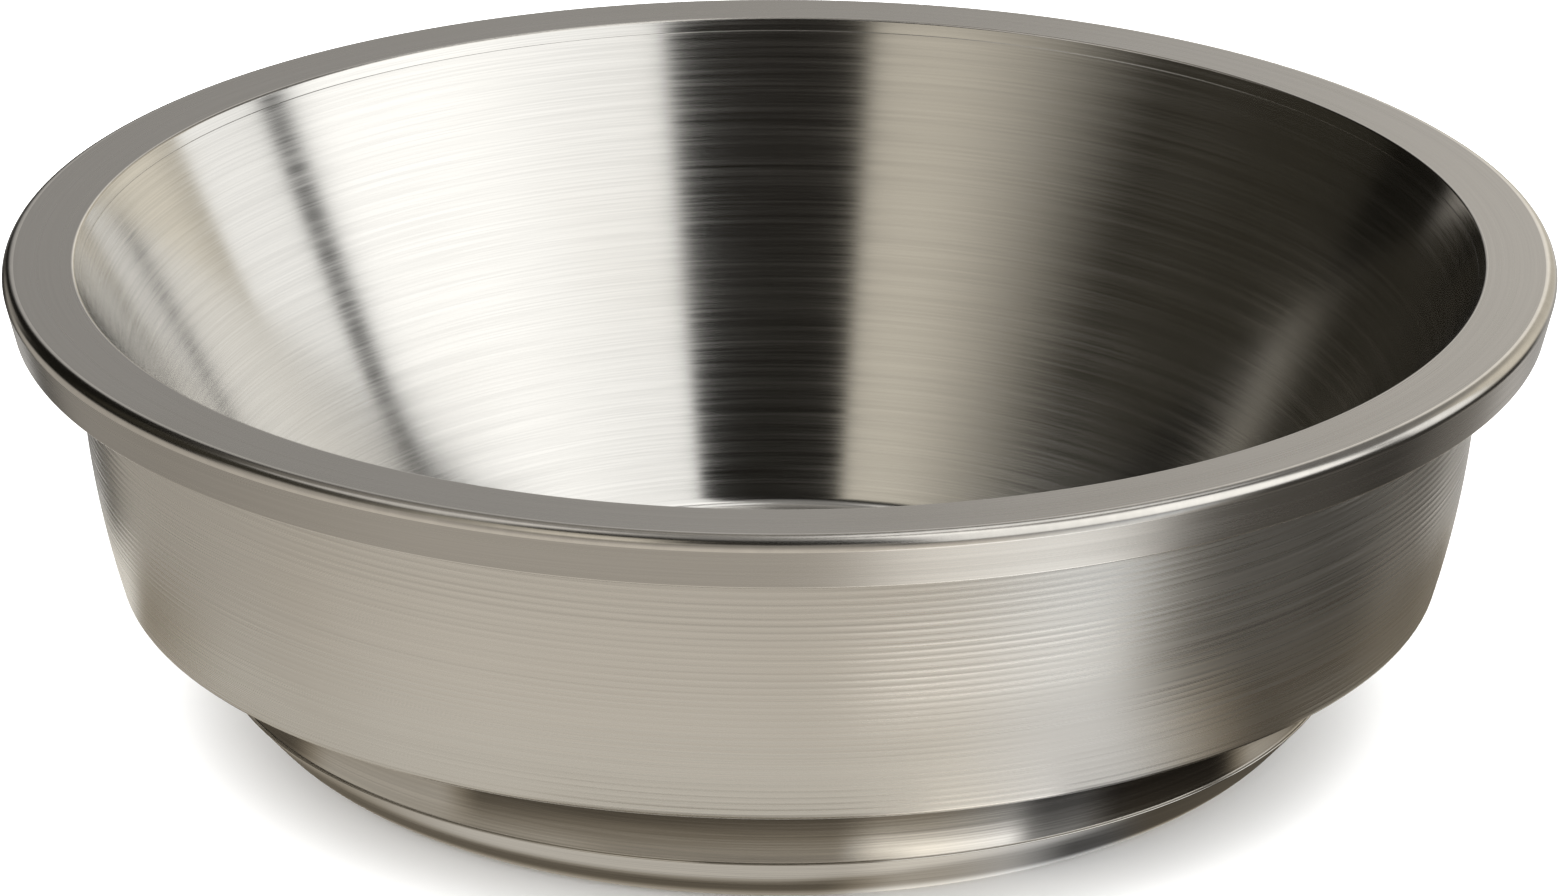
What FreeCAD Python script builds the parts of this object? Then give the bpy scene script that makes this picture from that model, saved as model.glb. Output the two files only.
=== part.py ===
"""Double-walled stainless steel shaving bowl.

A round lathering bowl, 100 mm over its rim and 31 mm tall. It is put together
from formed and turned pieces of stainless steel:

  rim_ring      heavy turned ring: flat top, rounded outer edge, slightly
                tapered outer band, a rabbet underneath for the shell and a
                conical seat inside for the bowl
  inner_bowl    spun conical bowl with a flat floor, the surface that the
                lather is worked on
  outer_shell   spun outer wall that narrows towards its lower edge and turns
                in to a flat shoulder with a register hole
  foot_ring     turned foot: shallow coved neck, a thin step, and a lip that
                tapers in to the narrow face the bowl stands on
  rim_weld      root weld that joins bowl, shell and rim ring inside the jacket
  shell_weld    dressed bead in the corner between shell and rim ring
  foot_weld     dressed bead in the corner between shell and foot ring
  floor_weld    bead between the bowl's rounded corner and the foot's bore
  vent_plug     plug in the hole that vents the air jacket while it is welded

Between the bowl and the shell is a closed air jacket that keeps lather warm.

Frame: millimetres, +Z up, origin in the middle of the underside, on the
surface that the bowl stands on.
"""

import FreeCAD, Part

import math
import os

from FreeCAD import Vector

# ---------------------------------------------------------------- dimensions
HEIGHT = 31.0             # overall height
R_RIM = 50.1              # rim's outer corner, before it is rounded
R_MOUTH = 45.3            # inner edge of the rim's flat top
CONE_HALF_ANGLE = 28.0    # degrees, bowl wall from the vertical
RIM_BAND = 3.5            # height of the rim's outer band
R_BAND_LOW = 49.25        # outer radius at the foot of the band
RIM_EDGE = 0.75           # rounding of the rim's outer edge
MOUTH_EDGE = 0.25         # rounding of the rim's inner edge
RIM_LIP = 0.8             # height of the rim's own conical lip above the bowl

BOWL_WALL = 0.6           # sheet thickness of the bowl
FLOOR_TOP = 0.85          # height of the bowl's floor
FLOOR_CORNER = 1.0        # inside radius between floor and wall

SHELL_WALL = 0.7          # sheet thickness of the shell
SHELL_TUCK = 0.4          # how far the shell enters the rim's rabbet
R_SHELL_TOP = 45.15       # shell's outer radius under the rim
R_SHELL_MID = 44.7        # the same half way down
Z_SHELL_MID = 19.0
R_SHELL_LOW = 42.8        # the same at its lower edge
Z_SHELL_LOW = 9.65        # height of the lower edge
SHELL_EDGE = 0.45         # rounding of the lower edge

R_REGISTER = 35.9         # foot's register in the shell's hole
R_SHOULDER = 37.7         # outer radius of the foot's shoulder
R_NECK = 36.55            # foot's neck at its narrowest, where the cove ends
Z_NECK = 4.25
R_LEDGE = 36.8            # outer radius of the thin step under the neck
Z_LEDGE = 3.95            # height of the step, the widest point of the lip
R_LIP = 34.95             # lip's radius where its taper starts to round under
Z_LIP = 1.8
R_FOOT_MID = 34.1         # a point on that rounding
Z_FOOT_MID = 0.95
R_FOOT_LOW = 32.7         # outer radius of the lip at the bottom
FOOT_EDGE = 0.3           # rounding of the lip's bottom edge
FOOT_BORE_CHAMFER = 0.25

BEAD = 1.5                # height of the hidden weld bead under the rim
FLOOR_BEAD_LOW = 0.5      # how low the floor's bead reaches
DRESSED_BEAD = 0.45       # leg of the dressed outside beads

VENT_R = 1.2              # vent hole's radius
VENT_AT = 40.0            # its distance from the axis
VENT_HEAD_R = 1.8
VENT_HEAD = 0.35          # height of the plug's domed head

T = math.tan(math.radians(CONE_HALF_ANGLE))
WALL_ACROSS = BOWL_WALL / math.cos(math.radians(CONE_HALF_ANGLE))


def r_inside(z):
    """Radius of the bowl's inner surface at height z."""
    return R_MOUTH - (HEIGHT - z) * T


def r_outside(z):
    """Radius of the bowl's outer surface at height z."""
    return r_inside(z) + WALL_ACROSS


# -------------------------------------------------------------------- helpers
def arc_through(a, b, c):
    return Part.Arc(Vector(a[0], 0, a[1]), Vector(b[0], 0, b[1]), Vector(c[0], 0, c[1])).toShape()


def line(a, b):
    return Part.makeLine(Vector(a[0], 0, a[1]), Vector(b[0], 0, b[1]))


def rounded(points):
    """Edges of a closed profile. Each point is (r, z), (r, z, rounding), or
    (r, z, "via"): a point that an arc from the point before to the point
    after passes through."""
    n = len(points)
    plain = [(p[0], p[1]) for p in points]
    kind = [p[2] if len(p) > 2 else 0.0 for p in points]
    ends = []                       # for each corner: where it is entered and left, and its mid-point
    for i, (r, z) in enumerate(plain):
        k = kind[i]
        if k == "via" or not k:
            ends.append(((r, z), (r, z), None))
            continue
        a, b = Vector(*plain[i - 1], 0), Vector(*plain[(i + 1) % n], 0)
        c = Vector(r, z, 0)
        u, v = (a - c).normalize(), (b - c).normalize()
        half = u.getAngle(v) / 2.0
        run = k / math.tan(half)
        bis = (u + v).normalize()
        centre = c + bis * (k / math.sin(half))
        mid = centre - bis * k
        p, q = c + u * run, c + v * run
        ends.append(((p.x, p.y), (q.x, q.y), (mid.x, mid.y)))
    edges = []
    i = 0
    for i in range(n):
        if ends[i][2] is not None:
            edges.append(arc_through(ends[i][0], ends[i][2], ends[i][1]))
        j = (i + 1) % n
        if kind[i] == "via":
            continue
        if kind[j] == "via":
            k2 = (j + 1) % n
            edges.append(arc_through(ends[i][1], plain[j], ends[k2][0]))
            continue
        edges.append(line(ends[i][1], ends[j][0]))
    return edges


def turned(points):
    """The solid that a closed profile makes when it is turned about Z."""
    wire = Part.Wire(Part.__sortEdges__(rounded(points)))
    face = Part.Face(wire)
    solid = face.revolve(Vector(0, 0, 0), Vector(0, 0, 1), 360)
    if solid.ShapeType != "Solid":
        solid = solid.Solids[0]
    if solid.Volume < 0:
        solid.reverse()
    return solid


# ------------------------------------------------------------------- rim ring
z_band = HEIGHT - RIM_BAND
z_seat = HEIGHT - RIM_LIP
z_rabbet = z_band + SHELL_TUCK
r_shell_in = R_SHELL_TOP - SHELL_WALL

rim_ring = turned([
    (R_MOUTH, HEIGHT, MOUTH_EDGE),
    (R_RIM, HEIGHT, RIM_EDGE),
    (R_BAND_LOW, z_band, 0.2),
    (R_SHELL_TOP, z_band),
    (R_SHELL_TOP, z_rabbet),
    (r_outside(z_rabbet), z_rabbet),
    (r_outside(z_seat), z_seat),
    (r_inside(z_seat), z_seat),
])

# ----------------------------------------------------------------- inner bowl
floor_under = FLOOR_TOP - BOWL_WALL
inner_bowl = turned([
    (0.0, FLOOR_TOP),
    (r_inside(FLOOR_TOP), FLOOR_TOP, FLOOR_CORNER),
    (r_inside(z_seat), z_seat),
    (r_outside(z_seat), z_seat),
    (r_outside(floor_under), floor_under, FLOOR_CORNER + BOWL_WALL),
    (0.0, floor_under),
])

# ---------------------------------------------------------------- outer shell
vent_hole = Part.makeCylinder(VENT_R, 4.0, Vector(0, VENT_AT, Z_SHELL_LOW - 1.5))


def shell_profile():
    """Outer wall as one arc, rounded lower edge, flat shoulder turned in."""
    top, mid, low = (R_SHELL_TOP, z_band), (R_SHELL_MID, Z_SHELL_MID), (R_SHELL_LOW, Z_SHELL_LOW)
    circle = arc_through(top, mid, low).Curve
    centre, radius = circle.Center, circle.Radius

    def on(rad, z):
        """Point of the concentric arc of radius rad at height z."""
        return centre.x + math.sqrt(rad * rad - (z - centre.z) ** 2), z

    # rounding between the wall's arc and the flat shoulder
    e = SHELL_EDGE
    inner_r = radius - e
    zc = Z_SHELL_LOW + e
    xc = centre.x + math.sqrt(inner_r ** 2 - (zc - centre.z) ** 2)
    away = Vector(xc - centre.x, 0, zc - centre.z).normalize()
    wall_end = (xc + away.x * e, zc + away.z * e)
    shoulder_start = (xc, Z_SHELL_LOW)
    bis = Vector(away.x, 0, away.z - 1).normalize()
    corner_mid = (xc + bis.x * e, zc + bis.z * e)
    r_in = radius - SHELL_WALL
    in_top = on(r_in, z_band)
    in_mid = on(r_in, Z_SHELL_MID)
    in_low = on(r_in, Z_SHELL_LOW + SHELL_WALL)
    z_tuck = z_band + SHELL_TUCK
    edges = [
        line((R_SHELL_TOP, z_tuck), top),
        arc_through(top, on(radius, 0.5 * (z_band + Z_SHELL_LOW)), wall_end),
        arc_through(wall_end, corner_mid, shoulder_start),
        line(shoulder_start, (R_REGISTER, Z_SHELL_LOW)),
        line((R_REGISTER, Z_SHELL_LOW), (R_REGISTER, Z_SHELL_LOW + SHELL_WALL)),
        line((R_REGISTER, Z_SHELL_LOW + SHELL_WALL), in_low),
        arc_through(in_low, in_mid, in_top),
        line(in_top, (in_top[0], z_tuck)),
        line((in_top[0], z_tuck), (R_SHELL_TOP, z_tuck)),
    ]
    return edges


def turned_edges(edges):
    wire = Part.Wire(Part.__sortEdges__(edges))
    solid = Part.Face(wire).revolve(Vector(0, 0, 0), Vector(0, 0, 1), 360)
    if solid.ShapeType != "Solid":
        solid = solid.Solids[0]
    if solid.Volume < 0:
        solid.reverse()
    return solid


outer_shell = turned_edges(shell_profile())
outer_shell = outer_shell.cut(vent_hole)
outer_shell = outer_shell.Solids[0]

# ------------------------------------------------------------------ foot ring
z_shoulder_top = Z_SHELL_LOW + SHELL_WALL
corner_run = (FLOOR_CORNER + BOWL_WALL) * math.tan(math.radians((90 - CONE_HALF_ANGLE) / 2.0))
z_seat_low = floor_under + corner_run * math.cos(math.radians(CONE_HALF_ANGLE)) + 0.02
r_bore = r_outside(z_seat_low)
# the cove leaves the neck upright and leans out to the shoulder
cove_run, cove_rise = R_SHOULDER - R_NECK, Z_SHELL_LOW - 0.5 - Z_NECK
cove_radius = (cove_run ** 2 + cove_rise ** 2) / (2.0 * cove_run)
cove_mid = (R_NECK + cove_radius - math.sqrt(cove_radius ** 2 - (cove_rise / 2.0) ** 2), Z_NECK + cove_rise / 2.0)
foot_ring = turned([
    (r_bore, z_seat_low),
    (r_outside(z_shoulder_top), z_shoulder_top),
    (R_REGISTER, z_shoulder_top),
    (R_REGISTER, Z_SHELL_LOW),
    (R_SHOULDER, Z_SHELL_LOW),
    (R_SHOULDER, Z_SHELL_LOW - 0.5),
    (cove_mid[0], cove_mid[1], "via"),
    (R_NECK, Z_NECK),
    (R_NECK, Z_LEDGE),
    (R_LEDGE, Z_LEDGE, 0.10),
    (R_LIP, Z_LIP),
    (R_FOOT_MID, Z_FOOT_MID, "via"),
    (R_FOOT_LOW, 0.0, FOOT_EDGE),
    (r_bore + FOOT_BORE_CHAMFER, 0.0),
    (r_bore, FOOT_BORE_CHAMFER),
])

# ---------------------------------------------------------------- weld beads
z_bead = z_rabbet - BEAD
rim_weld = turned([
    (r_outside(z_rabbet), z_rabbet),
    (r_shell_in, z_rabbet),
    (r_shell_in, z_bead),
    (r_outside(z_bead), z_bead),
]).cut(outer_shell)
rim_weld = sorted(rim_weld.Solids, key=lambda s: s.Volume)[-1]

shell_weld = turned([
    (R_SHELL_TOP, z_band),
    (R_SHELL_TOP + DRESSED_BEAD, z_band),
    (R_SHELL_TOP - 0.012, z_band - DRESSED_BEAD),
]).cut(outer_shell)
shell_weld = shell_weld.Solids[0]

foot_weld = turned([
    (R_SHOULDER, Z_SHELL_LOW),
    (R_SHOULDER + DRESSED_BEAD, Z_SHELL_LOW),
    (R_SHOULDER, Z_SHELL_LOW - DRESSED_BEAD),
])

floor_weld = turned([
    (r_bore, z_seat_low),
    (r_bore, FLOOR_BEAD_LOW),
    (r_bore - 0.80, FLOOR_BEAD_LOW),
    (r_bore - 0.80, z_seat_low),
]).cut(inner_bowl)
floor_weld = sorted(floor_weld.Solids, key=lambda s: s.CenterOfMass.z)[0]

# ---------------------------------------------------------------- vent plug
shank = Part.makeCylinder(VENT_R, SHELL_WALL, Vector(0, VENT_AT, Z_SHELL_LOW))
ball_r = (VENT_HEAD_R ** 2 + VENT_HEAD ** 2) / (2.0 * VENT_HEAD)
head = Part.makeSphere(ball_r, Vector(0, VENT_AT, Z_SHELL_LOW - VENT_HEAD + ball_r)).common(
    Part.makeBox(8.0, 8.0, VENT_HEAD + 1.0, Vector(-4.0, VENT_AT - 4.0, Z_SHELL_LOW - VENT_HEAD - 1.0)))
vent_plug = shank.fuse(head).removeSplitter().Solids[0]

# --------------------------------------------------------------------- export
parts = {
    "rim_ring": rim_ring,
    "inner_bowl": inner_bowl,
    "outer_shell": outer_shell,
    "foot_ring": foot_ring,
    "rim_weld": rim_weld,
    "shell_weld": shell_weld,
    "foot_weld": foot_weld,
    "floor_weld": floor_weld,
    "vent_plug": vent_plug,
}

os.makedirs("parts", exist_ok=True)
for name, shape in parts.items():
    solid = shape if shape.ShapeType == "Solid" else shape.Solids[0]
    if not solid.isValid() or solid.Volume <= 0:
        raise RuntimeError(name + " is not a valid solid")
    box = solid.BoundBox
    print("%-12s volume %9.2f mm3  r max %6.2f  z %6.2f to %6.2f  solids %d" % (
        name, solid.Volume, box.XMax, box.ZMin, box.ZMax, len(shape.Solids)))
    solid.exportStep(os.path.join("parts", name + ".step"))

names = list(parts)
for i, a in enumerate(names):
    for b in names[i + 1:]:
        shared = parts[a].common(parts[b]).Volume
        if shared > 1e-4:
            print("overlap", a, b, round(shared, 5))
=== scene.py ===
import math

import bpy
import numpy as np
from mathutils import Matrix, Vector


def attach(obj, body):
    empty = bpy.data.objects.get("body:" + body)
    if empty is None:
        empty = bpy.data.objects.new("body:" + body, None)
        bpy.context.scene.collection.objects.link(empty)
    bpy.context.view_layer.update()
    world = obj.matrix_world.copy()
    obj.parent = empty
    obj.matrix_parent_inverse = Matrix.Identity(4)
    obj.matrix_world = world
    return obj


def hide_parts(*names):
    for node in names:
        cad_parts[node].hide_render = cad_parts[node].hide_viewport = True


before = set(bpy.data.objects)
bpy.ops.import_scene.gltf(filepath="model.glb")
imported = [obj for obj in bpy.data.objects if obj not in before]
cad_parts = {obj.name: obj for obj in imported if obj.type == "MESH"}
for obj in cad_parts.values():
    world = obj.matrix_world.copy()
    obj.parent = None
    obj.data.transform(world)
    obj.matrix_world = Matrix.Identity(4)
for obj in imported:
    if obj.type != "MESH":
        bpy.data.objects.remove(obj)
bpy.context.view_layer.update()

MM = 0.001
TURN = 384                            # steps round the axis

# ----------------------------------------------------------------------------
# The bowl's dimensions in millimetres, the same as the CAD model's
# ----------------------------------------------------------------------------
HEIGHT = 31.0
R_RIM = 50.09
R_MOUTH = 45.3
CONE = math.radians(28.0)
RIM_BAND = 3.5
R_BAND_LOW = 49.25
RIM_LIP = 0.8
BOWL_WALL = 0.6
FLOOR_TOP = 0.85
FLOOR_CORNER = 1.0
SHELL_WALL = 0.7
SHELL_TUCK = 0.4
R_SHELL_TOP, R_SHELL_MID, Z_SHELL_MID, R_SHELL_LOW, Z_SHELL_LOW = 45.15, 44.7, 19.0, 42.8, 9.65
SHELL_EDGE = 0.45
R_REGISTER, R_SHOULDER, R_NECK, Z_NECK = 35.9, 37.7, 36.55, 4.25
R_LEDGE, Z_LEDGE, R_LIP, Z_LIP, R_FOOT_MID, Z_FOOT_MID, R_FOOT_LOW = 36.8, 3.95, 34.95, 1.8, 34.1, 0.95, 32.7
ROOT_BEAD = 1.5
VENT_R, VENT_AT, VENT_HEAD_R, VENT_HEAD = 1.2, 40.0, 1.8, 0.35

T = math.tan(CONE)
ACROSS = BOWL_WALL / math.cos(CONE)


def r_inside(z):
    return R_MOUTH - (HEIGHT - z) * T


def r_outside(z):
    return r_inside(z) + ACROSS


# ----------------------------------------------------------------------------
# Profiles: corners with a rounding, sampled into short steps, then turned
# ----------------------------------------------------------------------------
def arc_by_three(a, b, c, n):
    """Points from a to c on the circle through a, b and c."""
    (x1, y1), (x2, y2), (x3, y3) = a, b, c
    d = 2 * (x1 * (y2 - y3) + x2 * (y3 - y1) + x3 * (y1 - y2))
    ux = ((x1 * x1 + y1 * y1) * (y2 - y3) + (x2 * x2 + y2 * y2) * (y3 - y1) + (x3 * x3 + y3 * y3) * (y1 - y2)) / d
    uy = ((x1 * x1 + y1 * y1) * (x3 - x2) + (x2 * x2 + y2 * y2) * (x1 - x3) + (x3 * x3 + y3 * y3) * (x2 - x1)) / d
    r = math.hypot(x1 - ux, y1 - uy)
    t1, t2, t3 = (math.atan2(p[1] - uy, p[0] - ux) for p in (a, b, c))

    def unwrap(t, ref):
        while t - ref > math.pi:
            t -= 2 * math.pi
        while t - ref < -math.pi:
            t += 2 * math.pi
        return t

    t2 = unwrap(t2, t1)
    t3 = unwrap(t3, t2)
    return [(ux + r * math.cos(t1 + (t3 - t1) * k / n), uy + r * math.sin(t1 + (t3 - t1) * k / n)) for k in range(n + 1)]


def profile(corners, hold=0.03, longest=0.9):
    """corners: (r, z, rounding). Returns the points of a closed profile
    and, for each, how much of an edge it is (1 on a rounding, 0 on a face)."""
    n = len(corners)
    pts, edge = [], []
    for i, (r, z, k) in enumerate(corners):
        a = corners[i - 1]
        b = corners[(i + 1) % n]
        c = Vector((r, z))
        u, v = (Vector((a[0], a[1])) - c), (Vector((b[0], b[1])) - c)
        if k <= 0 or u.length < 1e-9 or v.length < 1e-9:
            pts.append((r, z)); edge.append(0.0)
            continue
        u.normalize(); v.normalize()
        half = u.angle(v) / 2
        run = k / math.tan(half)
        bis = (u + v).normalized()
        centre = c + bis * (k / math.sin(half))
        p, q, m = c + u * run, c + v * run, centre - bis * k
        steps = max(4, int(12 * (math.pi - 2 * half) / (math.pi / 2)))
        arc = arc_by_three(tuple(p), tuple(m), tuple(q), steps)
        pts += arc
        edge += [1.0] * len(arc)
    # straight runs get a holding loop near each end, and are cut where they are long
    out, out_edge = [], []
    m = len(pts)
    for i in range(m):
        p, q = Vector(pts[i]), Vector(pts[(i + 1) % m])
        out.append(tuple(p)); out_edge.append(edge[i])
        d = (q - p).length
        if edge[i] and edge[(i + 1) % m] and d < 4 * hold:
            continue
        if d > 6 * hold:
            w = (q - p) / d
            inner = d - 2 * hold
            cuts = max(1, int(math.ceil(inner / longest)))
            for k in range(cuts + 1):
                s = p + w * (hold + inner * k / cuts)
                out.append(tuple(s)); out_edge.append(0.0)
    return out, out_edge


def turned(name, pts, edge, node, turn=TURN):
    """A closed ring mesh from a closed profile. Points on the axis become one vertex. The point attribute "run" is the
    distance along the profile in millimetres, and "edge" marks the roundings."""
    run = [0.0]
    for a, b in zip(pts, pts[1:]):
        run.append(run[-1] + math.hypot(b[0] - a[0], b[1] - a[1]))
    verts, index, runs, edges = [], [], [], []
    for (r, z), s, e in zip(pts, run, edge):
        if r < 1e-6:
            index.append([len(verts)] * turn)
            verts.append((0.0, 0.0, z * MM)); runs.append(s); edges.append(e)
        else:
            base = len(verts)
            for k in range(turn):
                t = 2 * math.pi * k / turn
                verts.append((r * MM * math.sin(t), -r * MM * math.cos(t), z * MM)); runs.append(s); edges.append(e)
            index.append([base + k for k in range(turn)])
    faces = []
    m = len(pts)
    for i in range(m):
        a, b = index[i], index[(i + 1) % m]
        on_axis_a, on_axis_b = pts[i][0] < 1e-6, pts[(i + 1) % m][0] < 1e-6
        if on_axis_a and on_axis_b:
            continue
        for k in range(turn):
            j = (k + 1) % turn
            if on_axis_a:
                faces.append((a[0], b[j], b[k]))
            elif on_axis_b:
                faces.append((a[k], a[j], b[0]))
            else:
                faces.append((a[k], a[j], b[j], b[k]))
    mesh = bpy.data.meshes.new(name)
    mesh.from_pydata(verts, [], faces)
    mesh.update()
    at = mesh.attributes.new("run", "FLOAT", "POINT")
    at.data.foreach_set("value", np.array(runs, dtype=np.float32))
    at = mesh.attributes.new("edge", "FLOAT", "POINT")
    at.data.foreach_set("value", np.array(edges, dtype=np.float32))
    mesh.polygons.foreach_set("use_smooth", np.ones(len(mesh.polygons), dtype=bool))
    # normals outward: the signed volume says which way they point
    co = np.array(verts)
    vol = 0.0
    for f in faces[:: max(1, len(faces) // 20000)]:
        a, b, c = co[f[0]], co[f[1]], co[f[2]]
        vol += float(np.dot(a, np.cross(b, c)))
        if len(f) == 4:
            vol += float(np.dot(a, np.cross(c, co[f[3]])))
    if vol < 0:
        mesh.flip_normals()
    mesh.update()
    ob = bpy.data.objects.new(name, mesh)
    bpy.context.scene.collection.objects.link(ob)
    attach(ob, "root")
    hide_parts(node)
    return ob


z_band = HEIGHT - RIM_BAND
z_seat = HEIGHT - RIM_LIP
z_rabbet = z_band + SHELL_TUCK
floor_under = FLOOR_TOP - BOWL_WALL

# rim ring
p, e = profile([
    (R_MOUTH, HEIGHT, 0.22),
    (R_RIM, HEIGHT, 0.75),
    (R_BAND_LOW, z_band, 0.16),
    (R_SHELL_TOP, z_band, 0.0),
    (R_SHELL_TOP, z_rabbet, 0.0),
    (r_outside(z_rabbet), z_rabbet, 0.0),
    (r_outside(z_seat), z_seat, 0.0),
    (r_inside(z_seat), z_seat, 0.0),
])
rim = turned("rim_ring_turned", p, e, "rim_ring", 512)

# inner bowl
corner = FLOOR_CORNER
p, e = profile([
    (0.0, FLOOR_TOP, 0.0),
    (r_inside(FLOOR_TOP), FLOOR_TOP, corner),
    (r_inside(z_seat), z_seat, 0.0),
    (r_outside(z_seat), z_seat, 0.0),
    (r_outside(floor_under), floor_under, corner + BOWL_WALL),
    (0.0, floor_under, 0.0),
])
bowl = turned("inner_bowl_spun", p, [0.0] * len(p), "inner_bowl")

# outer shell: outside is one arc, rounded into the flat shoulder
wall = arc_by_three((R_SHELL_TOP, z_band), (R_SHELL_MID, Z_SHELL_MID), (R_SHELL_LOW, Z_SHELL_LOW), 40)
(x1, y1), (x2, y2), (x3, y3) = wall[0], wall[20], wall[40]
d = 2 * (x1 * (y2 - y3) + x2 * (y3 - y1) + x3 * (y1 - y2))
cx = ((x1 * x1 + y1 * y1) * (y2 - y3) + (x2 * x2 + y2 * y2) * (y3 - y1) + (x3 * x3 + y3 * y3) * (y1 - y2)) / d
cz = ((x1 * x1 + y1 * y1) * (x3 - x2) + (x2 * x2 + y2 * y2) * (x1 - x3) + (x3 * x3 + y3 * y3) * (x2 - x1)) / d
rad = math.hypot(x1 - cx, y1 - cz)


def on(rr, z):
    return cx + math.sqrt(rr * rr - (z - cz) ** 2), z


zc = Z_SHELL_LOW + SHELL_EDGE
xc = cx + math.sqrt((rad - SHELL_EDGE) ** 2 - (zc - cz) ** 2)
away = Vector((xc - cx, zc - cz)).normalized()
wall_end = (xc + away.x * SHELL_EDGE, zc + away.y * SHELL_EDGE)
bis = Vector((away.x, away.y - 1)).normalized()
mid = (xc + bis.x * SHELL_EDGE, zc + bis.y * SHELL_EDGE)
zs = np.linspace(z_band, wall_end[1], 48)
outer = [on(rad, float(z)) for z in zs]
corner_pts = arc_by_three(wall_end, mid, (xc, Z_SHELL_LOW), 12)
r_in = rad - SHELL_WALL
zi = np.linspace(Z_SHELL_LOW + SHELL_WALL, z_band, 24)
inner = [on(r_in, float(z)) for z in zi]
pts, ed = [], []


def put(points, e):
    for q in points:
        if not pts or math.hypot(q[0] - pts[-1][0], q[1] - pts[-1][1]) > 1e-5:
            pts.append((float(q[0]), float(q[1]))); ed.append(e)


put([(R_SHELL_TOP, z_rabbet)], 0.0)
put(outer, 0.0)
put(corner_pts, 1.0)
put([(xc - 0.03, Z_SHELL_LOW)], 0.0)
put([(r, Z_SHELL_LOW) for r in np.linspace(xc - 0.5, R_REGISTER + 0.03, 8)], 0.0)
put([(R_REGISTER, Z_SHELL_LOW)], 0.0)
put([(R_REGISTER, Z_SHELL_LOW + SHELL_WALL)], 0.0)
put(inner, 0.0)
put([(inner[-1][0], z_rabbet)], 0.0)
shell = turned("outer_shell_spun", pts, ed, "outer_shell", 512)

# foot ring
corner_run = (FLOOR_CORNER + BOWL_WALL) * math.tan((math.pi / 2 - CONE) / 2)
z_low = floor_under + corner_run * math.cos(CONE) + 0.02
r_bore = r_outside(z_low)
run_, rise = R_SHOULDER - R_NECK, Z_SHELL_LOW - 0.5 - Z_NECK
cove_r = (run_ ** 2 + rise ** 2) / (2 * run_)
cove_mid = (R_NECK + cove_r - math.sqrt(cove_r ** 2 - (rise / 2) ** 2), Z_NECK + rise / 2)
cove = arc_by_three((R_SHOULDER, Z_SHELL_LOW - 0.5), cove_mid, (R_NECK, Z_NECK), 28)
lip = arc_by_three((R_LIP, Z_LIP), (R_FOOT_MID, Z_FOOT_MID), (R_FOOT_LOW, 0.0), 18)
corners = [
    (r_bore, z_low, 0.0),
    (r_outside(Z_SHELL_LOW + SHELL_WALL), Z_SHELL_LOW + SHELL_WALL, 0.0),
    (R_REGISTER, Z_SHELL_LOW + SHELL_WALL, 0.0),
    (R_REGISTER, Z_SHELL_LOW, 0.0),
    (R_SHOULDER, Z_SHELL_LOW, 0.0),
] + [(q[0], q[1], 0.0) for q in cove] + [
    (R_NECK, Z_LEDGE, 0.03),
    (R_LEDGE, Z_LEDGE, 0.08),
] + [(q[0], q[1], 0.0) for q in lip[:-1]] + [
    (R_FOOT_LOW, 0.0, 0.25),
    (r_bore + 0.25, 0.0, 0.06),
    (r_bore, 0.25, 0.06),
]
p, e = profile(corners)
foot = turned("foot_ring_turned", p, e, "foot_ring")


def fillet(a, b, c, deep, n=8):
    """Section of a bead in a corner c, from a to b, with a hollow face."""
    m = ((a[0] + b[0]) / 2, (a[1] + b[1]) / 2)
    via = (m[0] + (c[0] - m[0]) * deep, m[1] + (c[1] - m[1]) * deep)
    return [c] + arc_by_three(a, via, b, n)


sec = fillet((R_SHELL_TOP + 0.45, z_band), (R_SHELL_TOP, z_band - 0.45), (R_SHELL_TOP, z_band), 0.3)
sec[-1] = (on(rad, z_band - 0.43)[0] + 0.002, z_band - 0.43)
shell_bead = turned("shell_weld_dressed", sec, [1.0] * len(sec), "shell_weld")

sec = fillet((R_SHOULDER, Z_SHELL_LOW - 0.45), (R_SHOULDER + 0.45, Z_SHELL_LOW), (R_SHOULDER, Z_SHELL_LOW), 0.3)
foot_bead = turned("foot_weld_dressed", sec, [1.0] * len(sec), "foot_weld")

zb = z_rabbet - ROOT_BEAD
sec = [(r_outside(z_rabbet), z_rabbet), (on(r_in, z_band)[0], z_rabbet), (on(r_in, z_band)[0], z_band), (on(r_in, zb)[0], zb)]
sec += arc_by_three((on(r_in, zb)[0], zb), (0.5 * (on(r_in, zb)[0] + r_outside(zb)), zb + 0.18), (r_outside(zb), zb), 8)[1:]
root_bead = turned("rim_weld_root", sec, [0.0] * len(sec), "rim_weld")

# bead in the corner between the bowl's rounded corner and the foot's bore
ro = FLOOR_CORNER + BOWL_WALL
cr, czz = r_outside(floor_under) - corner_run, floor_under + ro        # centre of the outside rounding
low = 0.5
arc_pts = []
for k in range(11):
    z = z_low - (z_low - low) * k / 10
    arc_pts.append((min(r_bore, cr + math.sqrt(max(0.0, ro * ro - (z - czz) ** 2))), z))
sec = arc_pts + [(0.5 * (arc_pts[-1][0] + r_bore), low + 0.06), (r_bore, low)]
sec = [sec[0]] + [q for q in sec[1:] if r_bore - q[0] > 1e-4 or q[1] < z_low - 1e-4]
floor_bead = turned("floor_weld_bead", sec, [0.0] * len(sec), "floor_weld")

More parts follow.
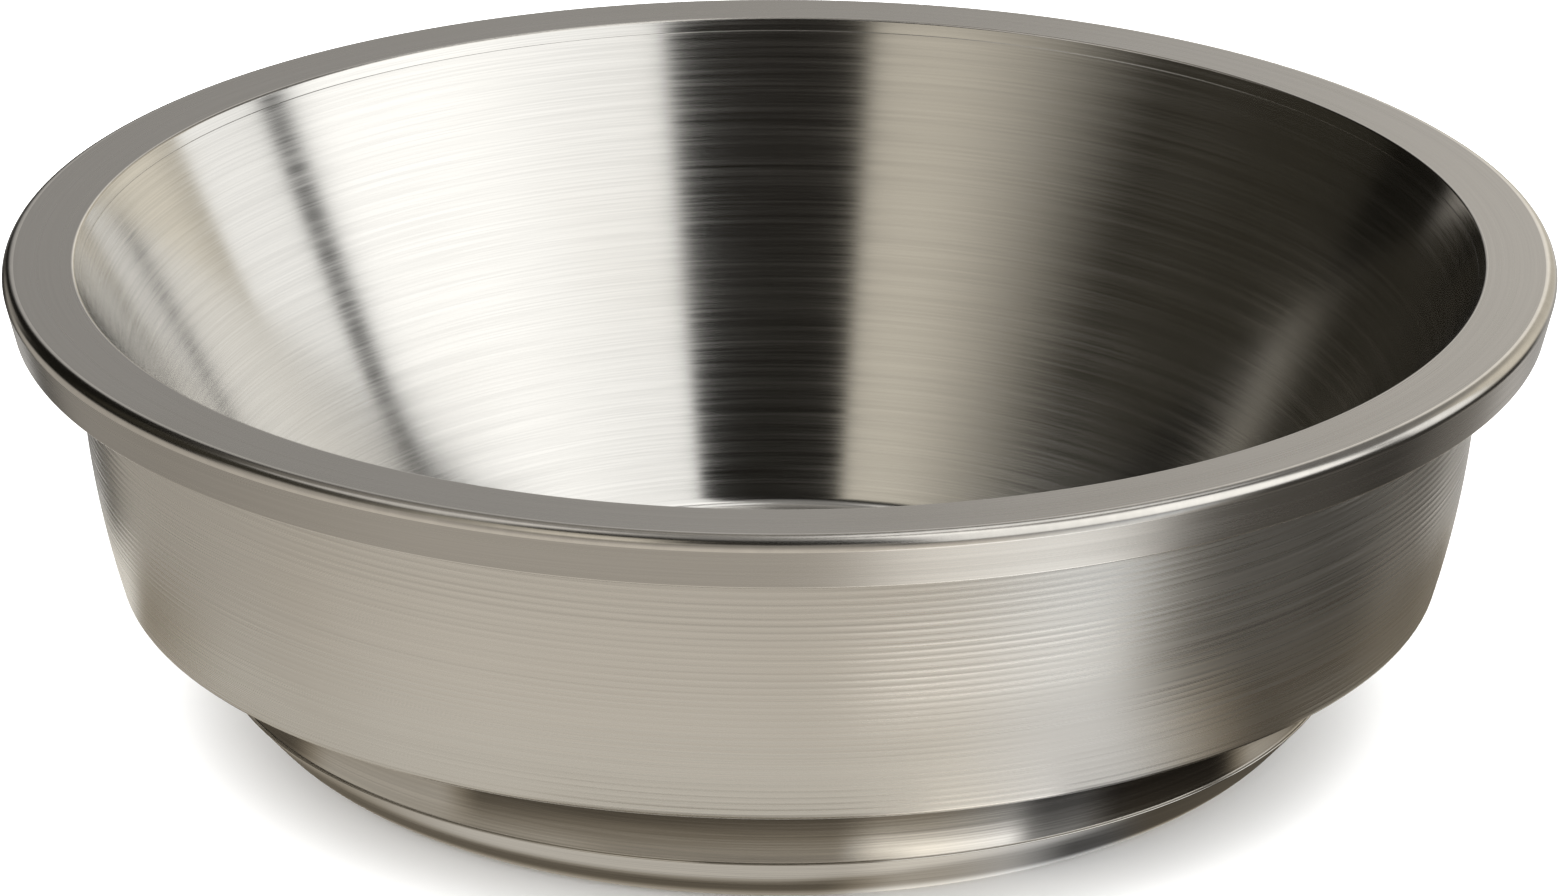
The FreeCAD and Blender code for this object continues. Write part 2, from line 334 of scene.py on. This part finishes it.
# vent plug: shank and a domed head with a softened edge
dome = []
ball = (VENT_HEAD_R ** 2 + VENT_HEAD ** 2) / (2 * VENT_HEAD)
for k in range(13):
    r = VENT_HEAD_R * 0.97 * k / 12
    dome.append((r, Z_SHELL_LOW - VENT_HEAD + ball - math.sqrt(ball * ball - r * r)))
sec = dome + [(VENT_HEAD_R, Z_SHELL_LOW - 0.03), (VENT_HEAD_R, Z_SHELL_LOW), (VENT_R, Z_SHELL_LOW), (VENT_R, Z_SHELL_LOW + SHELL_WALL), (0.0, Z_SHELL_LOW + SHELL_WALL)]
plug = turned("vent_plug_domed", sec, [0.0] * len(sec), "vent_plug", 64)
plug.data.transform(Matrix.Translation((0.0, VENT_AT * MM, 0.0)))

# ----------------------------------------------------------------------------
# Materials: turned and brushed stainless steel, all from nodes
# ----------------------------------------------------------------------------
class Net:
    """Small helper for building a node tree."""

    def __init__(self, tree):
        self.t = tree
        tree.nodes.clear()

    def new(self, kind, **props):
        n = self.t.nodes.new(kind)
        for k, v in props.items():
            setattr(n, k, v)
        return n

    def link(self, a, b):
        self.t.links.new(a, b)

    def feed(self, socket, value):
        if isinstance(value, bpy.types.NodeSocket):
            self.link(value, socket)
        else:
            socket.default_value = value

    def math(self, op, a, b=None, c=None, clamp=False):
        n = self.new("ShaderNodeMath", operation=op, use_clamp=clamp)
        self.feed(n.inputs[0], a)
        if b is not None:
            self.feed(n.inputs[1], b)
        if c is not None:
            self.feed(n.inputs[2], c)
        return n.outputs[0]

    def smooth(self, x, a, b, lo=0.0, hi=1.0):
        n = self.new("ShaderNodeMapRange", interpolation_type="SMOOTHSTEP", clamp=True)
        self.feed(n.inputs[0], x)
        n.inputs[1].default_value, n.inputs[2].default_value = a, b
        n.inputs[3].default_value, n.inputs[4].default_value = lo, hi
        return n.outputs[0]

    def noise(self, vec, scale, detail=2.0, rough=0.5, distortion=0.0):
        n = self.new("ShaderNodeTexNoise", noise_dimensions="3D")
        self.link(vec, n.inputs["Vector"])
        n.inputs["Scale"].default_value = scale
        n.inputs["Detail"].default_value = detail
        n.inputs["Roughness"].default_value = rough
        n.inputs["Distortion"].default_value = distortion
        return n.outputs[0]

    def mix(self, fac, a, b):
        n = self.new("ShaderNodeMix", data_type="RGBA", blend_type="MIX")
        self.feed(n.inputs[0], fac)
        self.feed(n.inputs[6], a)
        self.feed(n.inputs[7], b)
        return n.outputs[2]


def steel(name, colour, rough=0.27, aniso=0.85, fine=1.0, streak_mm=0.10, rings=0.0, pitch=0.46, tangent=True,
          stain=0.05, bump=0.004, contrast=1.0, edge_wear_and_highlight=1.16):
    """Stainless steel with marks that run round the axis. streak_mm is how wide a fine mark is, rings the height of
    regular turning marks in millimetres, and pitch their spacing."""
    m = bpy.data.materials.new(name)
    m.use_nodes = True
    g = Net(m.node_tree)
    out = g.new("ShaderNodeOutputMaterial")
    bsdf = g.new("ShaderNodeBsdfPrincipled")
    g.link(bsdf.outputs[0], out.inputs[0])
    bsdf.inputs["Metallic"].default_value = 1.0
    bsdf.inputs["IOR"].default_value = 2.5
    bsdf.inputs["Anisotropic"].default_value = aniso
    co = g.new("ShaderNodeTexCoord").outputs["Object"]
    sep = g.new("ShaderNodeSeparateXYZ")
    g.link(co, sep.inputs[0])
    x, y, z = sep.outputs
    r = g.math("SQRT", g.math("ADD", g.math("MULTIPLY", x, x), g.math("MULTIPLY", y, y)))
    r = g.math("MAXIMUM", r, 1e-5)
    cx_, cy_ = g.math("DIVIDE", x, r), g.math("DIVIDE", y, r)
    run = g.new("ShaderNodeAttribute", attribute_name="run").outputs["Fac"]
    edge = g.new("ShaderNodeAttribute", attribute_name="edge").outputs["Fac"]

    def around(k, per_mm, shift=0.0):
        c = g.new("ShaderNodeCombineXYZ")
        g.link(g.math("MULTIPLY_ADD", cx_, k, shift), c.inputs[0])
        g.link(g.math("MULTIPLY", cy_, k), c.inputs[1])
        g.link(g.math("MULTIPLY", run, per_mm), c.inputs[2])
        return c.outputs[0]

    hair = g.noise(around(2.2, 1.0 / streak_mm), 1.0, 3.0, 0.6)              # hair-fine marks
    band = g.noise(around(0.9, 0.35 / streak_mm, 7.0), 1.0, 2.0, 0.5)        # wider, fainter bands
    broad = g.noise(co, 26.0, 3.0, 0.55)                                    # handling marks and uneven polish
    speck = g.noise(co, 900.0, 2.0, 0.6)
    # colour
    light = [min(1.0, c * (1 + 0.07 * contrast)) for c in colour] + [1.0]
    dark = [c * (1 - 0.10 * contrast) for c in colour] + [1.0]
    warm = [colour[0] * 0.97, colour[1] * 0.93, colour[2] * 0.87, 1.0]
    col = g.mix(g.smooth(hair, 0.34, 0.66), dark, light)
    col = g.mix(g.smooth(broad, 0.50, 0.72, 0.0, stain * 6.0), col, warm)
    # roundings are painted lighter: partly rubbed wear, partly a painted highlight
    rubbed_and_highlight_colour = [min(1.0, c * edge_wear_and_highlight) for c in colour] + [1.0]
    col = g.mix(g.math("MULTIPLY", edge, g.smooth(speck, 0.35, 0.7, 0.72, 0.86)), col, rubbed_and_highlight_colour)     # rubbed edges: partly real wear, partly a painted highlight on the roundings
    if rings:
        wob = g.noise(around(1.3, 0.5, 3.0), 1.0, 2.0, 0.5)
        ph = g.math("ADD", g.math("MULTIPLY", run, 2 * math.pi / pitch), g.math("MULTIPLY", wob, 2.2))
        wave = g.math("POWER", g.math("MULTIPLY_ADD", g.math("SINE", ph), 0.5, 0.5), 1.6)
        amp = g.smooth(g.noise(around(1.6, 1.1, 11.0), 1.0, 2.0, 0.5), 0.3, 0.7, 0.45, 1.25)
        # painted shade: the bottoms of the turning-mark grooves are painted darker
        col = g.mix(g.math("MULTIPLY", g.math("SUBTRACT", 1.0, wave), g.math("MULTIPLY", amp, 0.035)), col, (colour[0] * 0.45, colour[1] * 0.43, colour[2] * 0.40, 1.0))
    g.link(col, bsdf.inputs["Base Color"])
    # roughness
    ro_ = g.math("ADD", g.smooth(hair, 0.3, 0.7, rough - 0.035 * fine, rough + 0.035 * fine), g.smooth(band, 0.3, 0.7, -0.02, 0.02))
    ro_ = g.math("ADD", ro_, g.smooth(broad, 0.45, 0.75, 0.0, stain))
    ro_ = g.math("SUBTRACT", ro_, g.math("MULTIPLY", edge, 0.05))
    g.link(ro_, bsdf.inputs["Roughness"])
    # relief, in millimetres
    h = g.math("MULTIPLY", hair, bump)
    h = g.math("ADD", h, g.math("MULTIPLY", band, bump * 1.5))
    if rings:
        h = g.math("ADD", h, g.math("MULTIPLY", g.math("MULTIPLY", wave, amp), rings))
    b = g.new("ShaderNodeBump")
    b.inputs["Strength"].default_value = 1.0
    b.inputs["Distance"].default_value = MM
    g.link(h, b.inputs["Height"])
    g.link(b.outputs[0], bsdf.inputs["Normal"])
    if tangent:
        t = g.new("ShaderNodeTangent", direction_type="RADIAL", axis="Z")
        g.link(t.outputs[0], bsdf.inputs["Tangent"])
        bsdf.inputs["Anisotropic Rotation"].default_value = 0.25
    return m


RIM = (0.400, 0.385, 0.362)
BOWL = (0.640, 0.628, 0.605)
SHELL = (0.620, 0.600, 0.565)
FOOT = (0.560, 0.540, 0.505)
WELD = (0.420, 0.400, 0.370)
mats = {
    # the rim's roundings get the strongest painted highlight
    "rim": steel("turned_rim_steel", RIM, rough=0.25, aniso=0.25, streak_mm=0.10, bump=0.0008, fine=0.5, stain=0.03, contrast=0.4, edge_wear_and_highlight=1.6),
    "bowl": steel("brushed_bowl_steel", BOWL, rough=0.165, aniso=0.70, streak_mm=0.16, bump=0.0008, fine=0.5, stain=0.03, contrast=0.7),
    "shell": steel("lined_shell_steel", SHELL, rough=0.27, aniso=0.70, streak_mm=0.08, rings=0.011, pitch=0.46, bump=0.0010, contrast=0.35),
    "foot": steel("turned_foot_steel", FOOT, rough=0.14, aniso=0.50, streak_mm=0.12, bump=0.0012, fine=0.6, stain=0.03, contrast=1.0),
    "weld": steel("dressed_weld_steel", WELD, rough=0.36, aniso=0.5, streak_mm=0.10, bump=0.004, stain=0.08),
    "plug": steel("plug_steel_satin", FOOT, rough=0.34, aniso=0.0, streak_mm=0.15, tangent=False),
}
def finish_lip(ob, zone):
    """The lip's inner face is brushed in one go with the bowl, so it takes the bowl's finish."""
    ob.data.materials.append(zone)
    for poly in ob.data.polygons:
        c = poly.center
        if math.hypot(c.x, c.y) < (R_MOUTH + 0.02) * MM and c.z < (HEIGHT - 0.12) * MM and c.z > z_seat * MM:
            poly.material_index = 1


for ob, key in ((rim, "rim"), (bowl, "bowl"), (shell, "shell"), (foot, "foot"), (shell_bead, "weld"), (foot_bead, "weld"),
                (root_bead, "weld"), (floor_bead, "weld"), (plug, "plug")):
    ob.data.materials.append(mats[key])

finish_lip(rim, mats["bowl"])

# ----------------------------------------------------------------------------
# Studio: pale floor, soft panels round the bowl, a wide soft light overhead
# ----------------------------------------------------------------------------
def floor_material():
    m = bpy.data.materials.new("pale_matte_floor")
    m.use_nodes = True
    g = Net(m.node_tree)
    out = g.new("ShaderNodeOutputMaterial")
    bsdf = g.new("ShaderNodeBsdfPrincipled")
    g.link(bsdf.outputs[0], out.inputs[0])
    co = g.new("ShaderNodeTexCoord").outputs["Object"]
    n = g.noise(co, 60.0, 3.0, 0.5)
    g.link(g.mix(g.smooth(n, 0.3, 0.7), (0.885, 0.885, 0.882, 1), (0.90, 0.90, 0.897, 1)), bsdf.inputs["Base Color"])
    bsdf.inputs["Roughness"].default_value = 1.0
    bsdf.inputs["Specular IOR Level"].default_value = 0.0
    return m


floor_mat = floor_material()


def disc(name, r0, r1, z, steps=160, mat=None):
    """Flat ring from r0 to r1, a full disc when r0 is 0."""
    v, f = [], []
    for k in range(steps):
        t = 2 * math.pi * k / steps
        v.append((r1 * math.cos(t), r1 * math.sin(t), z))
    if r0 <= 0:
        v.append((0, 0, z))
        f = [(k, (k + 1) % steps, steps) for k in range(steps)]
    else:
        for k in range(steps):
            t = 2 * math.pi * k / steps
            v.append((r0 * math.cos(t), r0 * math.sin(t), z))
        f = [(k, (k + 1) % steps, steps + (k + 1) % steps, steps + k) for k in range(steps)]
    me = bpy.data.meshes.new(name)
    me.from_pydata(v, [], f)
    me.update()
    o = bpy.data.objects.new(name, me)
    bpy.context.scene.collection.objects.link(o)
    me.materials.append(mat or floor_mat)
    return o


floor = disc("floor", 0.0, 3.0, 0.0)
floor.visible_glossy = False           # the panels below stand in for what the steel sees there


def shade_material():
    """An emitting disc seen only in reflections, painted with what the steel should reflect of the floor close round
    the foot: painted shade of the bowl, darkest in the middle, with painted highlights and lighter rings.
    """
    m = bpy.data.materials.new("shaded_floor")
    m.use_nodes = True
    g = Net(m.node_tree)
    out = g.new("ShaderNodeOutputMaterial")
    em = g.new("ShaderNodeEmission")
    g.link(em.outputs[0], out.inputs[0])
    co = g.new("ShaderNodeTexCoord").outputs["Object"]
    sep = g.new("ShaderNodeSeparateXYZ")
    g.link(co, sep.inputs[0])
    r = g.math("SQRT", g.math("ADD", g.math("MULTIPLY", sep.outputs[0], sep.outputs[0]), g.math("MULTIPLY", sep.outputs[1], sep.outputs[1])))
    turn_ = g.math("MULTIPLY", g.math("ARCTAN2", sep.outputs[0], g.math("MULTIPLY", sep.outputs[1], -1.0)), 180 / math.pi)
    def times(a, *rest):
        for b in rest:
            a = g.math("MULTIPLY", a, b)
        return a

    def plus(a, *rest):
        for b in rest:
            a = g.math("ADD", a, b)
        return a

    # seen by the wall: even, a little dimmer to the left, dark to the right of the key light
    wall_ = plus(g.smooth(turn_, -75, -28, -0.16, 0.0), g.smooth(turn_, -92, -66, -0.30, 0.0), g.smooth(turn_, -102, -93, 0.60, 0.0),
                 g.smooth(turn_, 0, 22, 0.80, 0.97), g.smooth(turn_, 33, 58, 0.0, -0.85), g.smooth(turn_, 68, 84, 0.0, 0.08),
                 g.smooth(turn_, 90, 103, 0.0, 0.04), g.smooth(turn_, 106, 116, 0.0, 0.42), g.smooth(turn_, 124, 172, 0.0, 0.28))
    # seen by the cove: dark near the foot, lighter further out, darker still to the right of the key light
    cove_ = g.smooth(r, 0.0418, 0.0462, 0.10, 0.56)
    cove_ = times(cove_, g.math("SUBTRACT", 1.0, plus(g.smooth(turn_, 29, 33, 0.0, 0.45), g.smooth(turn_, 36, 43, 0.0, 0.43), g.smooth(turn_, 58, 66, 0.0, -0.88))))
    cove_ = plus(cove_, times(g.smooth(turn_, 60, 67), g.smooth(turn_, 74, 84, 1.0, 0.0), g.smooth(r, 0.0405, 0.0420, 0.0, 0.45), g.smooth(r, 0.0440, 0.0456, 1.0, 0.0)))
    cove_ = plus(cove_, times(g.smooth(turn_, -70, -60), g.smooth(turn_, -43, -36, 1.0, 0.0), g.smooth(r, 0.0405, 0.0418, 0.0, 0.42), g.smooth(r, 0.0430, 0.0450, 1.0, 0.0)))
    # painted highlight: a bright patch from the key light, as the cove reflects it
    painted_cove_highlight = times(g.smooth(turn_, 6, 13), g.smooth(turn_, 27, 31, 1.0, 0.0), g.smooth(r, 0.0432, 0.0450, 0.14, 1.40))
    cove_ = plus(cove_, painted_cove_highlight)
    cove_ = times(cove_, g.math("SUBTRACT", 1.0, times(g.smooth(r, 0.0455, 0.0459), g.smooth(r, 0.0474, 0.0479, 1.0, 0.0), g.smooth(turn_, -28, -18), g.smooth(turn_, 12, 18, 0.9, 0.0))))
    out_ = g.smooth(g.math("ADD", r, g.smooth(turn_, 50, 62, 0.0, 0.0016)), 0.0462, 0.0482)
    level = plus(times(cove_, g.math("SUBTRACT", 1.0, out_)), times(wall_, out_))
    level = times(level, g.smooth(r, 0.0392, 0.0400))
    # seen by the lip: a lighter ring that narrows and fades to the right, over a dark ground
    low = plus(g.smooth(turn_, 4, 14, 0.15, 0.52), g.smooth(turn_, 24, 34, 0.0, -0.42), g.smooth(turn_, 120, 170, 0.0, 0.05))
    low = plus(low, times(g.smooth(r, 0.0329, 0.0338, 1.0, 0.0), plus(g.smooth(turn_, 4, 14, 0.26, 0.5), g.smooth(turn_, 120, 170, 0.0, -0.24))))
    inner = g.math("SUBTRACT", r, plus(g.smooth(turn_, -2, 26, 0.03465, 0.03515), g.smooth(turn_, 120, 170, 0.0, -0.0005)))
    ring = g.smooth(inner, -0.00018, 0.00018)
    lit = plus(g.smooth(turn_, -60, -30, 0.36, 0.72), g.smooth(turn_, 6, 14, 0.0, 0.25), g.smooth(turn_, 22, 46, 0.0, -0.88), g.smooth(turn_, 120, 170, 0.0, 0.27))
    lip_ = plus(times(low, g.math("SUBTRACT", 1.0, ring)), times(lit, ring))
    level = plus(level, times(lip_, g.smooth(r, 0.0392, 0.0400, 1.0, 0.0)))
    sc = g.new("ShaderNodeVectorMath", operation="SCALE")
    tint = g.mix(g.smooth(level, 0.15, 0.75), (1.0, 0.86, 0.66, 1), (1.0, 0.955, 0.87, 1))
    tint = g.mix(g.math("MULTIPLY", g.smooth(turn_, 16, 30), g.smooth(turn_, 36, 46, 1.0, 0.0)), tint, (1.0, 1.0, 1.0, 1))
    g.link(tint, sc.inputs[0])
    g.link(level, sc.inputs["Scale"])
    col = sc.outputs[0]
    g.link(col, em.inputs[0])
    return m


# painted reflection: a glowing disc, hidden from the camera, from diffuse light and from shadows
shade = disc("shade_under_bowl", 0.0, 0.0600, 0.0, mat=shade_material())
shade.visible_camera = shade.visible_diffuse = shade.visible_shadow = False

world = bpy.data.worlds.new("studio")
bpy.context.scene.world = world
world.use_nodes = True
g = Net(world.node_tree)
w_out = g.new("ShaderNodeOutputWorld")
bg = g.new("ShaderNodeBackground")
g.link(bg.outputs[0], w_out.inputs[0])
direction = g.new("ShaderNodeTexCoord").outputs["Generated"]
sep = g.new("ShaderNodeSeparateXYZ")
g.link(direction, sep.inputs[0])
dx, dy, dz = sep.outputs
AZ = g.math("MULTIPLY", g.math("ARCTAN2", dx, g.math("MULTIPLY", dy, -1.0)), 180 / math.pi)      # from the front, to the right
BK = g.math("MULTIPLY", g.math("ARCTAN2", dx, dy), 180 / math.pi)                               # from the back, to the right
EL = g.math("MULTIPLY", g.math("ARCSINE", g.math("MINIMUM", g.math("MAXIMUM", dz, -1.0), 1.0)), 180 / math.pi)

total = None


def panel(colour, power, az=None, el=None, back=None):
    """A soft panel. az, el and back are (from, softness, to, softness) in degrees."""
    global total
    masks = []
    for angle, span in ((AZ, az), (EL, el), (BK, back)):
        if span is None:
            continue
        a, sa, b, sb = span
        masks.append(g.smooth(angle, a - sa, a + sa))
        masks.append(g.smooth(angle, b - sb, b + sb, 1.0, 0.0))
    k = masks[0]
    for q in masks[1:]:
        k = g.math("MULTIPLY", k, q)
    k = g.math("MULTIPLY", k, power)
    sc = g.new("ShaderNodeVectorMath", operation="SCALE")
    sc.inputs[0].default_value = colour
    g.link(k, sc.inputs["Scale"])
    if total is None:
        total = sc.outputs[0]
    else:
        ad = g.new("ShaderNodeVectorMath", operation="ADD")
        g.link(total, ad.inputs[0])
        g.link(sc.outputs[0], ad.inputs[1])
        total = ad.outputs[0]


WHITE = (1.0, 1.0, 0.985)
WARM = (1.0, 0.935, 0.84)
BEIGE = (1.0, 0.935, 0.80)
BROWN = (1.0, 0.90, 0.66)
GREY = (1.0, 0.975, 0.94)
ALL = (-200, 1, 200, 1)
# above the horizon
UP = (12, 8, 80, 8)
COOL = (0.62, 0.79, 1.0)
panel(BROWN, 0.008, az=ALL)
panel(GREY, 0.26, el=(64, 8, 100, 1))
panel(WHITE, 1.30, az=(21.6, 1.3, 93.9, 2.0), el=(4, 8, 60, 6))       # key softbox, front right
panel(WHITE, 0.30, az=(48, 22, 92, 6), el=(4, 8, 60, 6))
panel(WHITE, 1.55, az=(28, 4, 68, 6), el=(60, 6, 80, 6))
panel(WHITE, 1.15, az=(120, 5, 172, 4), el=(55, 4, 84, 5))            # its upper end, over the top
panel(WHITE, 0.12, az=(93.5, 2, 100, 2), el=UP)
panel(WHITE, 1.28, az=(99.4, 1.3, 118.5, 1.5), el=(-6, 8, 28, 5))   # strip light, right
panel(GREY, 0.18, az=(96, 4, 165, 10), el=(30, 5, 52, 4))
panel(BEIGE, 0.66, az=(118.5, 1.5, 172, 10), el=(-6, 8, 30, 10))    # warm wall, right and behind
panel(BEIGE, 0.24, az=(124, 5, 140, 8), el=(-6, 8, 30, 10))
panel(BEIGE, 0.77, az=(-50, 24, -17.2, 1.8), el=(12, 8, 43, 4))     # beige wall, front left
panel(BROWN, 0.030, az=(-121, 3, -60, 20), el=UP)
panel(GREY, 0.72, az=(-108, 8, -54, 9), el=(45, 4, 78, 6))          # what the rounded rim edge shows on the left
panel(WARM, 0.42, az=(-84, 6, -38, 8), el=(-4, 4, 13, 4))
panel(WARM, 0.32, az=(-38, 8, 16, 5), el=(-4, 4, 22, 5))
panel(GREY, 0.52, back=(-18, 5, 18, 5), el=(8, 6, 44, 10))          # wall behind, which the flat rim shows
panel(GREY, 0.19, back=(0, 7, 18, 5), el=(8, 6, 44, 10))
panel(WARM, 0.24, back=(-66, 8, 4, 6), el=(49, 5, 70, 8))
panel(WARM, 0.35, az=(-152, 4, -141, 4), el=(-4, 4, 9, 3))
# below the horizon: the table as the steel sees it
DOWN = (-100, 1, -3, 5)
TABLE = (-100, 1, -18, 13)
panel(WARM, 0.49, az=(-146, 7, 66, 10), el=DOWN)
panel(WARM, 0.30, az=(-95, 42, 66, 10), el=TABLE)
panel(COOL, 0.38, az=(38, 16, 63, 5), el=DOWN)
panel(WHITE, 1.45, az=(17, 9, 70, 3), el=(-56, 4, -43, 3))
panel(WARM, 0.03, az=(70, 8, 176, 4), el=DOWN)
panel(WARM, 0.11, az=(64, 8, 108, 6), el=(-100, 1, -30, 6))
panel(WARM, 0.24, az=(122, 6, 176, 4), el=(-64, 6, -25, 2))
panel(GREY, 0.40, az=(143, 4, 176, 4), el=(-44, 6, -3, 5))
panel(GREY, 0.34, az=(164, 6, 176, 4), el=(-44, 6, -3, 5))
panel(GREY, 0.15, az=(138, 6, 176, 4), el=(-44, 5, -26, 2))
panel(GREY, 0.90, az=(-176, 4, -158, 3), el=(-64, 6, -23, 2))
panel(GREY, 0.25, az=(-176, 4, -160, 6), el=DOWN)
panel(GREY, 0.75, back=(-4, 4, 4, 4), el=(-64, 6, -3, 5))            # straight behind, where the two sides meet
path = g.new("ShaderNodeLightPath")
seen = g.mix(path.outputs["Is Diffuse Ray"], total, (2.8, 2.8, 2.79, 1))
seen = g.mix(path.outputs["Is Camera Ray"], seen, (1.0, 1.0, 0.998, 1))
g.link(seen, bg.inputs[0])
bg.inputs[1].default_value = 1.0


def area(name, size, power, place, look, colour=(1, 1, 1), glossy=False):
    li = bpy.data.lights.new(name, "AREA")
    li.shape = "DISK"
    li.size = size
    li.energy = power
    li.color = colour
    o = bpy.data.objects.new(name, li)
    bpy.context.scene.collection.objects.link(o)
    o.location = place
    o.rotation_mode = "QUATERNION"
    o.rotation_quaternion = (Vector(look) - Vector(place)).to_track_quat("-Z", "Y")
    o.visible_glossy = glossy
    o.visible_camera = False
    return o


area("overhead_soft", 2.4, 8.0, (0.1, -0.15, 1.2), (0, 0, 0))

# ----------------------------------------------------------------------------
# Camera: in front, a little above, with a long lens
# ----------------------------------------------------------------------------
TILT, DIST, R = 0.38009, 10.0, 0.05
cam_data = bpy.data.cameras.new("camera")
cam = bpy.data.objects.new("camera", cam_data)
bpy.context.scene.collection.objects.link(cam)
cam_data.sensor_fit = "HORIZONTAL"
cam_data.sensor_width = 36.0
cam_data.lens = 36.0 * 7770.2 / 1559.0
cam_data.clip_start, cam_data.clip_end = 0.01, 20.0
off_x, off_y = 0.00022, -0.26442
cam.location = (off_x * R, (-DIST * math.cos(TILT) + off_y * math.sin(TILT)) * R,
                (DIST * math.sin(TILT) + off_y * math.cos(TILT)) * R + HEIGHT * MM)
forward = Vector((0, math.cos(TILT), -math.sin(TILT)))
cam.rotation_mode = "QUATERNION"
cam.rotation_quaternion = forward.to_track_quat("-Z", "Y") @ Matrix.Rotation(0.0017, 3, "Z").to_quaternion()
bpy.context.scene.camera = cam

vs = bpy.context.scene.view_settings
vs.view_transform = "Standard"
vs.look = "None"
vs.exposure = 0.0
vs.gamma = 1.0
